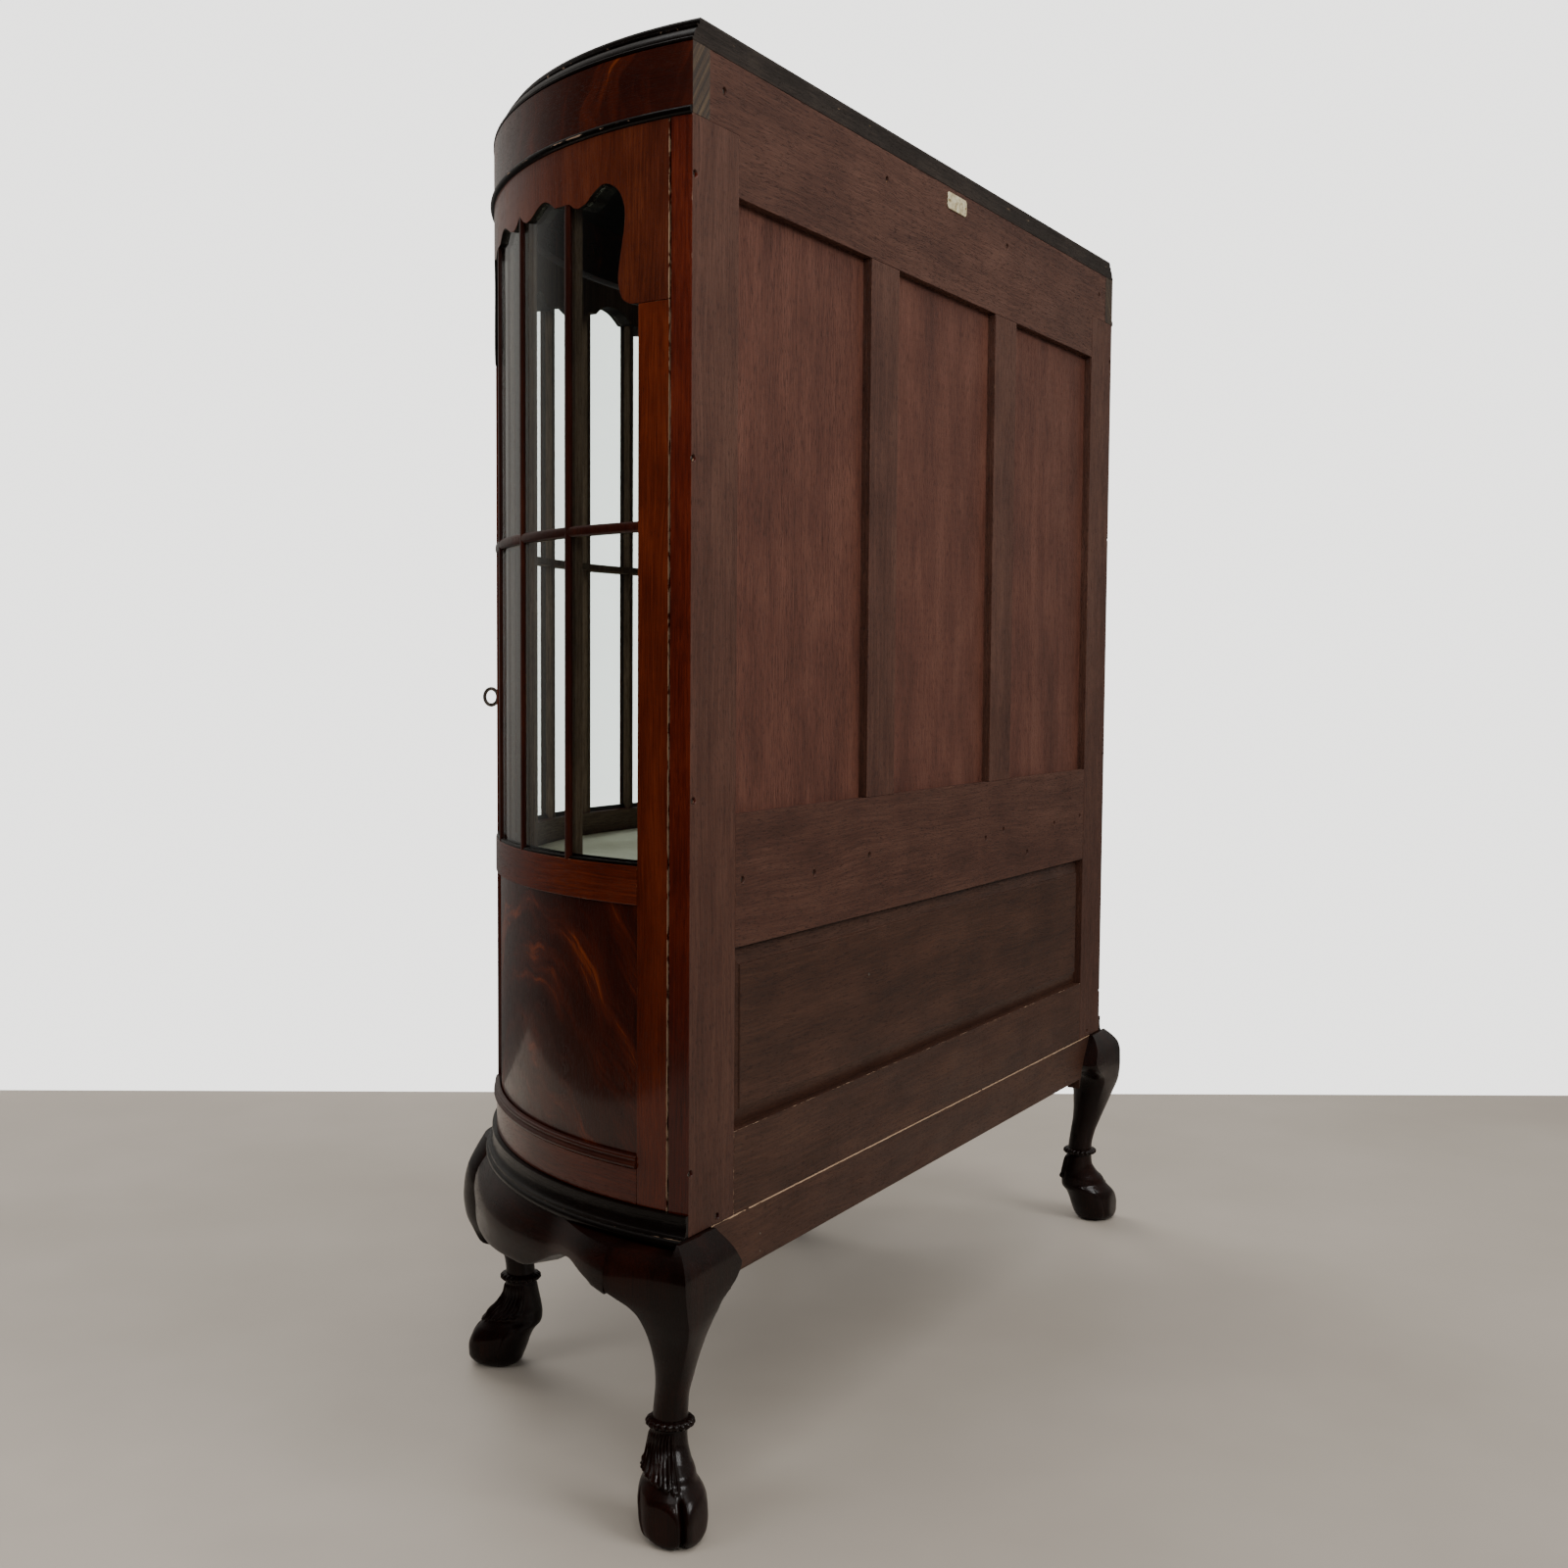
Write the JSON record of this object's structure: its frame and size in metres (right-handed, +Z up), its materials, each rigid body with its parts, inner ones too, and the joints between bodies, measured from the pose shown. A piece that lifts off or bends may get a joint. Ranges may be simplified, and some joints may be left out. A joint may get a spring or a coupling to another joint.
{
  "type": "china cabinet",
  "caption": "Half-elliptical glazed china cabinet with a bowed glass door, scalloped flame-veneered rails, panelled back and cabriole legs with hoof feet.",
  "frame": {"origin": "middle of the footprint's bounding box, on the floor under the feet", "axes": "+Z up, +X to the right seen from the front, front faces -Y, flat panelled back faces +Y"},
  "size_m": [1.1418, 0.4744, 1.25],
  "materials": {
    "polished_mahogany": "glossy French-polished red-brown mahogany with fine straight grain",
    "flame_veneer": "glossy flame-figured mahogany veneer, pale streaks on dark red-brown",
    "back_mahogany": "satin brown mahogany, faded, with long straight grain and small knocks",
    "panel_mahogany": "satin reddish mahogany panels with upright grain",
    "base_mahogany": "very dark glossy red-brown stained wood",
    "ebonised_wood": "near-black polished moulding with brown showing at worn edges",
    "clear_glass": "clear thin bent glass",
    "aged_brass": "aged brass with dull brown tarnish",
    "dark_steel": "dull steel darkened by handling",
    "ivory_plate": "yellowed ivory-coloured plate, blank",
    "lining_cloth": "pale sage-cream lining cloth, matt"
  },
  "bodies": {
    "carcass": {"side_right_top_rail": "flame_veneer", "side_right_back_stile": "polished_mahogany", "side_right_front_stile": "polished_mahogany", "side_right_mid_rail": "polished_mahogany", "side_right_bottom_rail": "polished_mahogany", "side_right_panel": "flame_veneer", "side_right_bars": "polished_mahogany", "side_right_glass": "clear_glass", "side_left_top_rail": "flame_veneer", "side_left_front_stile": "polished_mahogany", "side_left_back_stile": "polished_mahogany", "side_left_mid_rail": "polished_mahogany", "side_left_bottom_rail": "polished_mahogany", "side_left_panel": "flame_veneer", "side_left_bars": "polished_mahogany", "side_left_glass": "clear_glass", "hinge_lower_fixed_leaf": "aged_brass", "hinge_upper_fixed_leaf": "aged_brass", "top_board": "ebonised_wood", "frieze": "flame_veneer", "frieze_bead": "ebonised_wood", "back_stile_right": "back_mahogany", "back_muntin_right": "back_mahogany", "back_panel_right": "panel_mahogany", "back_stile_left": "back_mahogany", "back_muntin_left": "back_mahogany", "back_panel_left": "panel_mahogany", "back_panel_centre": "panel_mahogany", "back_top_rail": "back_mahogany", "back_mid_rail": "back_mahogany", "back_bottom_rail": "back_mahogany", "back_lower_panel": "panel_mahogany", "maker_plate": "ivory_plate", "display_floor": "polished_mahogany", "floor_lining": "lining_cloth", "bottom_board": "base_mahogany", "base_moulding": "ebonised_wood", "back_base_rail": "base_mahogany", "leg_back_right": "base_mahogany", "leg_front_right": "base_mahogany", "leg_back_left": "base_mahogany", "leg_front_left": "base_mahogany", "apron_right": "base_mahogany", "apron_left": "base_mahogany", "apron_front": "base_mahogany"},
    "door": {"door_top_rail": "flame_veneer", "door_lock_stile": "polished_mahogany", "door_hinge_stile": "polished_mahogany", "door_mid_rail": "polished_mahogany", "door_bottom_rail": "polished_mahogany", "door_panel": "flame_veneer", "door_bars": "polished_mahogany", "door_glass": "clear_glass", "hinge_lower_moving_leaf": "aged_brass", "hinge_upper_moving_leaf": "aged_brass", "lock_case": "aged_brass", "escutcheon": "aged_brass"},
    "sliding_bolt": {"lock_bolt": "dark_steel"},
    "turning_key": {"key": "dark_steel"}
  },
  "joints": [
    {"name": "door_swing", "type": "hinge", "parent": "carcass", "child": "door", "pos_m": [-0.28051, -0.16131, 0.735], "axis": [0, 0, -1], "range_deg": [0, 110]},
    {"name": "bolt_slide", "type": "slide", "parent": "door", "child": "sliding_bolt", "axis": [0.9134, 0.4071, 0], "range_m": [0, 0.009]},
    {"name": "key_turn", "type": "hinge", "parent": "door", "child": "turning_key", "pos_m": [0.25365, -0.17032, 0.698], "axis": [0.4071, -0.9134, 0], "range_deg": [0, 180]}
  ],
  "couplings": [
    {"joint": "bolt_slide", "follows": "key_turn", "m_per_rad": 0.0028647}
  ]
}
